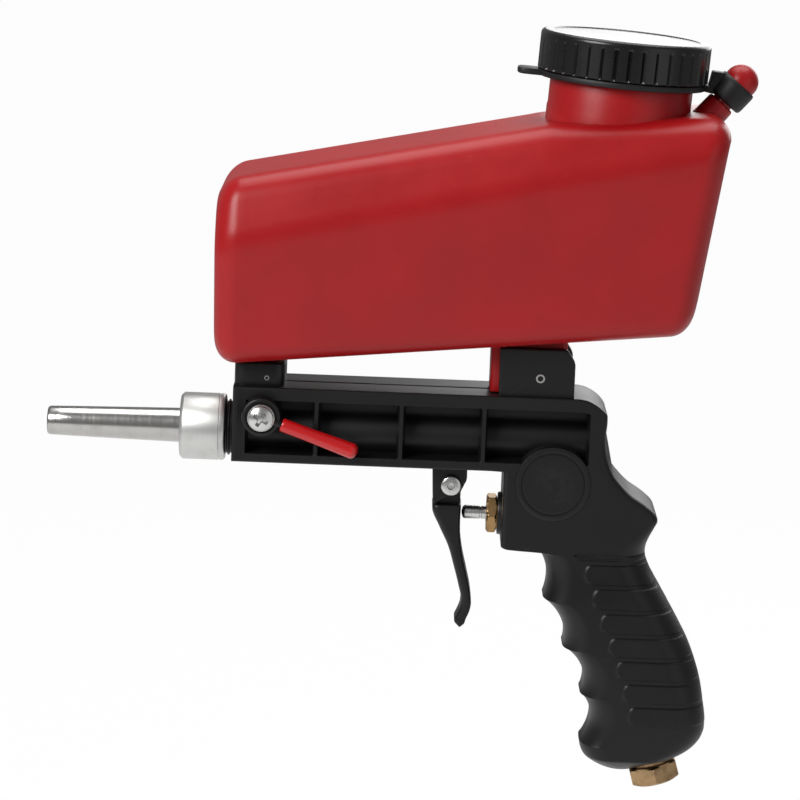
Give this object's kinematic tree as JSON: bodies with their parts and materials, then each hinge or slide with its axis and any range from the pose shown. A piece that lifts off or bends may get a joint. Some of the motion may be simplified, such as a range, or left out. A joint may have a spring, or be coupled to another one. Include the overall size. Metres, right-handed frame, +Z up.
{
  "type": "gravity feed sandblasting gun",
  "caption": "Hand-held gravity-feed sandblasting gun: pistol body with trigger, steel nozzle, grit hopper on top with screw cap, sand valve lever and air inlet under the grip.",
  "frame": {"origin": "the middle of the hand grip, on the plane that halves the gun", "axes": "+X from the nozzle to the grip, parallel to the barrel; +Z up; +Y across the gun, away from the side that the sand valve lever is on"},
  "size_m": [0.231, 0.0644, 0.256],
  "materials": {
    "body_black": "fine satin grain, moulded",
    "hopper_red": "satin, faint moulding texture",
    "vinyl_red": "dipped vinyl, soft gloss",
    "cap_black": "semi-gloss, moulded",
    "tether_rubber": "flexible, semi-matte",
    "seal_rubber": "matte",
    "nozzle_steel": "ground and polished along its length",
    "nut_aluminium": "turned, light bead-blasted",
    "brass": "machined, slightly tarnished",
    "pin_steel": "zinc-plated"
  },
  "bodies": {
    "gun": {"gun_body": "body_black", "hopper": "hopper_red", "filler_neck": "hopper_red", "outlet_spigot": "hopper_red", "hopper_foot": "hopper_red", "hopper_gasket": "seal_rubber", "hopper_front_pin_near": "pin_steel", "hopper_front_pin_far": "pin_steel", "hopper_rear_pin": "pin_steel", "tether_strap": "tether_rubber", "air_jet": "brass", "air_tube": "brass", "trigger_pin": "pin_steel", "trigger_pin_clip": "pin_steel", "gland_nut": "brass", "stem_seal": "seal_rubber", "valve_seat": "brass", "valve_spring": "pin_steel", "inlet_fitting": "brass"},
    "trigger": {"trigger": "body_black"},
    "air_valve": {"valve_stem": "pin_steel"},
    "sand_valve": {"sand_valve_plug": "pin_steel", "plug_oring_near": "seal_rubber", "plug_oring_far": "seal_rubber", "plug_clip": "pin_steel", "lever_arm": "body_black", "lever_sleeve": "vinyl_red", "lever_washer": "pin_steel", "lever_screw": "pin_steel"},
    "cap_ring": {"tether_ring": "tether_rubber"},
    "cap": {"hopper_cap": "cap_black", "cap_liner": "seal_rubber"},
    "nozzle": {"nozzle": "nozzle_steel", "nozzle_seal": "seal_rubber"},
    "nut": {"nozzle_nut": "nut_aluminium"}
  },
  "joints": [
    {"name": "trigger_pull", "type": "hinge", "parent": "gun", "child": "trigger", "pos_m": [-0.0577, 0, 0.0525], "axis": [0, -1, 0], "range_deg": [0, 15], "stiffness_Nm_per_rad": 0.5, "springref_deg": -11.46},
    {"name": "valve_push", "type": "slide", "parent": "gun", "child": "air_valve", "axis": [1, 0, 0], "range_m": [0, 0.0034], "deforming": ["valve_spring"]},
    {"name": "sand_valve_turn", "type": "hinge", "parent": "gun", "child": "sand_valve", "pos_m": [-0.1213, 0, 0.0752], "axis": [0, 1, 0], "range_deg": [0, 90]},
    {"name": "cap_lift", "type": "slide", "parent": "gun", "child": "cap_ring", "axis": [0.061, 0, 0.9981], "range_m": [0, 0.006]},
    {"name": "cap_unscrew", "type": "hinge", "parent": "cap_ring", "child": "cap", "pos_m": [-0.0071, 0, 0.1884], "axis": [0.061, 0, 0.9981], "range_deg": [0, 540]},
    {"name": "nozzle_slide", "type": "slide", "parent": "gun", "child": "nozzle", "axis": [-1, 0, 0], "range_m": [0, 0.006]},
    {"name": "nut_unscrew", "type": "hinge", "parent": "nozzle", "child": "nut", "pos_m": [-0.141, 0, 0.068], "axis": [-1, 0, 0], "range_deg": [0, 1440]}
  ],
  "couplings": [
    {"joint": "valve_push", "follows": "trigger_pull", "m_per_rad": 0.013},
    {"joint": "cap_lift", "follows": "cap_unscrew", "m_per_rad": 0.00063662},
    {"joint": "nut_unscrew", "follows": "nozzle_slide", "rad_per_m": 4188.8}
  ]
}
